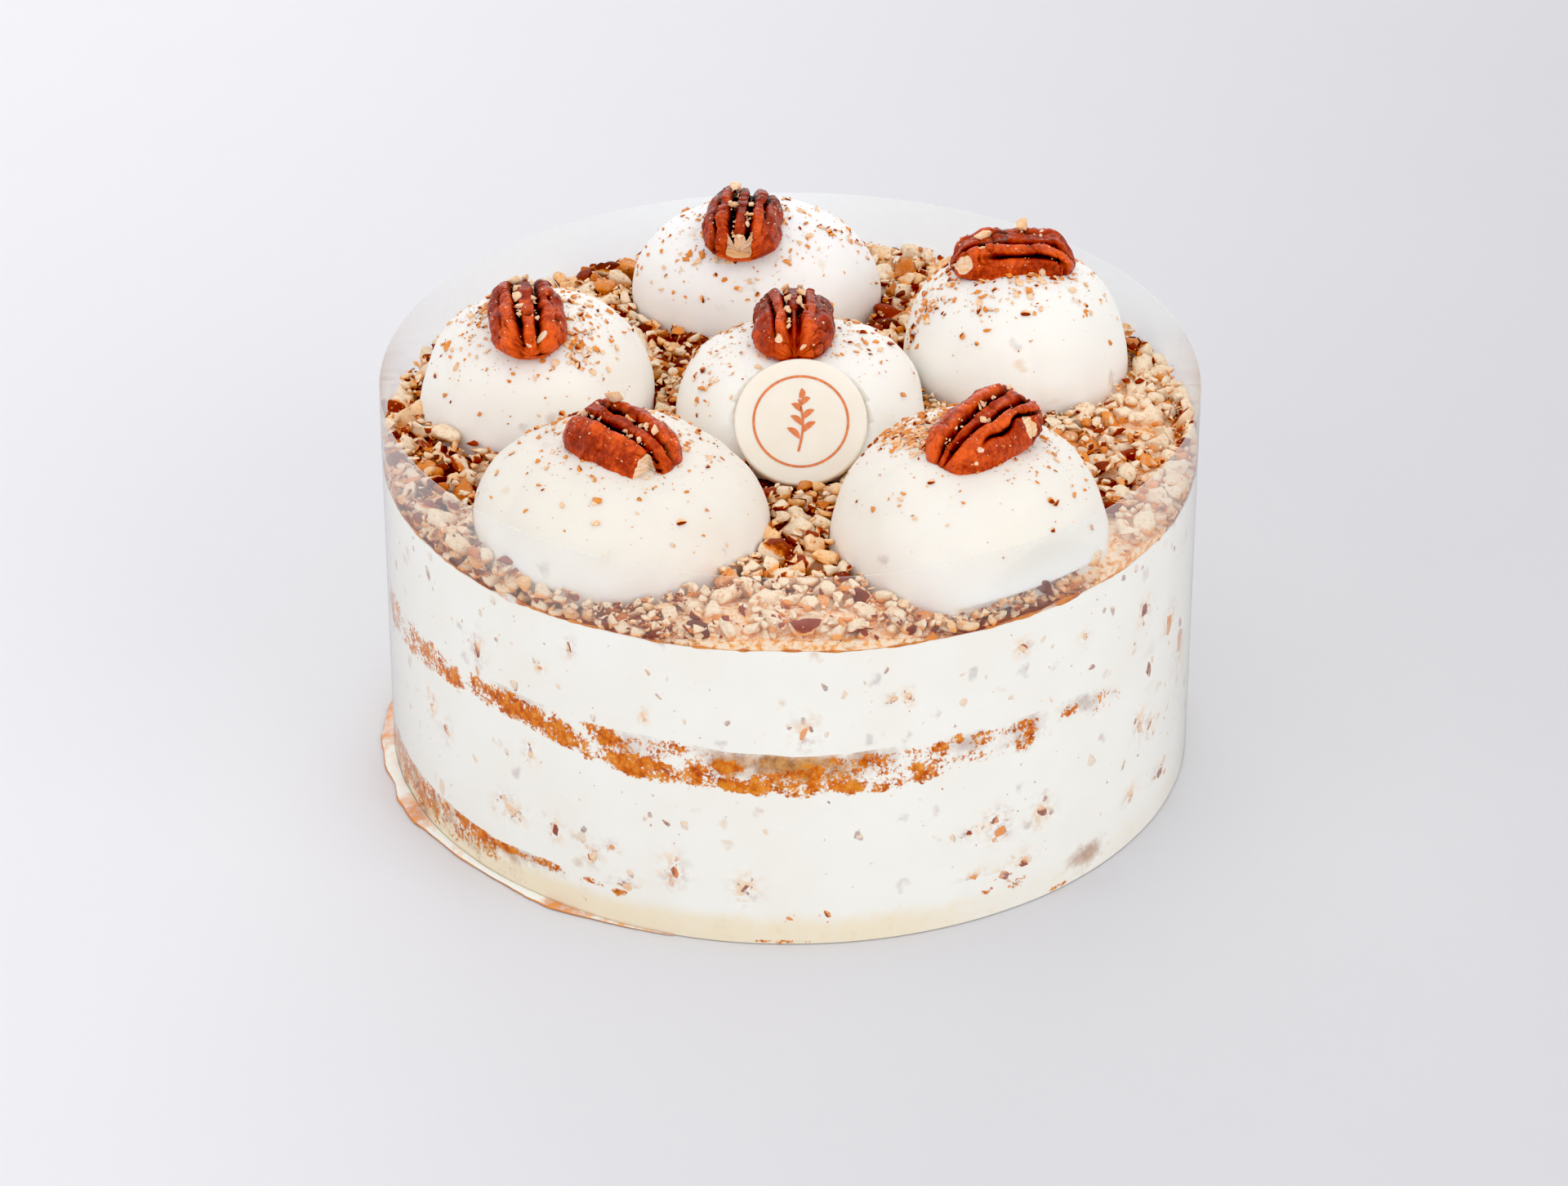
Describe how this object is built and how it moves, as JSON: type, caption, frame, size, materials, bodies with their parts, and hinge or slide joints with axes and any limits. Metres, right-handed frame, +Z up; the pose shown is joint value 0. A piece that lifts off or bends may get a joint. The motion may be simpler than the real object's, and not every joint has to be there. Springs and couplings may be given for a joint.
{
  "type": "ice cream cake",
  "caption": "Round layered ice cream cake with sponge, cream, chopped nuts, ice cream scoops with pecan halves, a chocolate disc and a clear collar.",
  "frame": {"origin": "centre of the underside, on the cake's axis", "axes": "+Z up; -Y to the front, where the chocolate disc faces; +X to the right seen from the front"},
  "size_m": [0.2, 0.2, 0.1214],
  "materials": {
    "sponge": "matt, open crumb",
    "cream": "smooth, slightly moist",
    "nuts": "matt, chopped",
    "pecan": "satin, wrinkled",
    "chocolate": "satin",
    "film": "clear gloss"
  },
  "bodies": {
    "root": {"sponge_base": "sponge", "cream_lower": "cream", "sponge_middle": "sponge", "cream_upper": "cream", "nut_topping": "nuts", "dome_front_left": "cream", "pecan_front_left": "pecan", "dome_front_right": "cream", "pecan_front_right": "pecan", "dome_left": "cream", "pecan_left": "pecan", "dome_back": "cream", "pecan_back": "pecan", "dome_right": "cream", "pecan_right": "pecan", "dome_centre": "cream", "pecan_centre": "pecan", "chocolate_disc": "chocolate", "collar": "film"}
  },
  "joints": []
}
